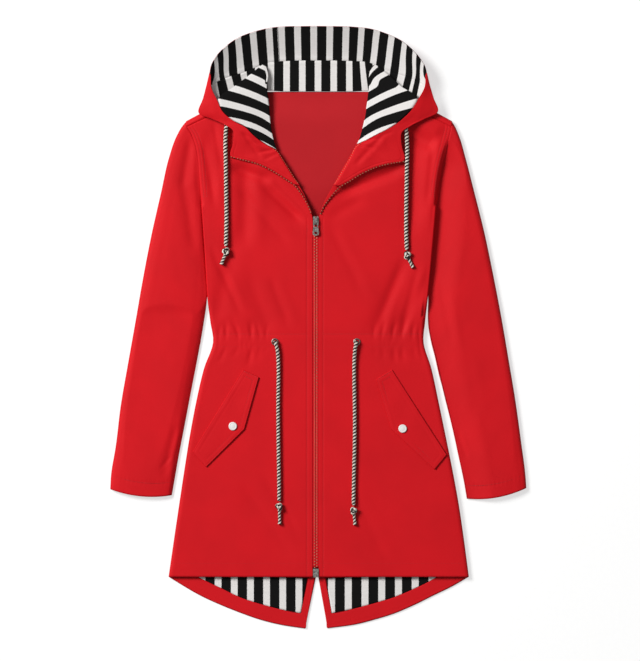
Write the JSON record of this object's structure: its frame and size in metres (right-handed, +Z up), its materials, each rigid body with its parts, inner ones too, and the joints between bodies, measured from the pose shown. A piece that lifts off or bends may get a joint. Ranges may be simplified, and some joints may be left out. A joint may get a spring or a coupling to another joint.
{
  "type": "windbreaker",
  "caption": "Hooded zip-front windbreaker laid flat: open striped-lined hood, long sleeves, drawn-in waist, pocket flaps, dipped back hem and drawstrings.",
  "frame": {"origin": "middle of the garment's outline on the surface it lies on", "axes": "+X towards the wearer's left side, +Y from the hem to the hood, +Z up off the surface, out of the front"},
  "size_m": [0.692, 1.0005, 0.032],
  "materials": {
    "shell_cloth": "smooth coated woven cloth, faint sheen",
    "lining_cloth": "jersey with even black and white stripes",
    "zip_tape": "woven tape",
    "zip_teeth": "small dark antique teeth",
    "zip_metal": "dark polished metal",
    "snap_cap": "white enamel",
    "eyelet_metal": "satin",
    "drawcord": "round braid in grey, beige and black"
  },
  "bodies": {
    "garment": {"back": "shell_cloth", "front_left": "shell_cloth", "front_right": "shell_cloth", "sleeve_left": "shell_cloth", "sleeve_right": "shell_cloth", "hood_center": "shell_cloth", "hood_side_left": "shell_cloth", "hood_side_right": "shell_cloth", "facing_left": "shell_cloth", "facing_right": "shell_cloth", "tail_facing_left": "shell_cloth", "tail_facing_right": "shell_cloth", "pocket_flap_left": "shell_cloth", "pocket_flap_right": "shell_cloth", "hood_lining_crown": "lining_cloth", "hood_lining_nape": "lining_cloth", "hood_lining_left": "lining_cloth", "hood_lining_right": "lining_cloth", "tail_lining_left": "lining_cloth", "tail_lining_right": "lining_cloth", "zip_tape_left": "zip_tape", "zip_tape_right": "zip_tape", "zip_chain": "zip_teeth", "zip_half_left": "zip_teeth", "zip_half_right": "zip_teeth", "zip_slider": "zip_metal", "zip_box": "zip_metal", "snap_left": "snap_cap", "snap_right": "snap_cap", "eyelet_left": "eyelet_metal", "eyelet_right": "eyelet_metal", "hood_cord_left": "drawcord", "hood_cord_right": "drawcord", "hood_knot_left": "drawcord", "hood_knot_right": "drawcord", "waist_cord_left": "drawcord", "waist_cord_right": "drawcord", "waist_knot_left": "drawcord", "waist_knot_right": "drawcord"},
    "zip_pull": {"zip_pull": "zip_metal"}
  },
  "joints": [
    {"name": "zip_pull_hinge", "type": "hinge", "parent": "garment", "child": "zip_pull", "pos_m": [-0.0042, 0.1784, 0.0162], "axis": [-1, 0, 0], "range_deg": [0, 165]}
  ]
}
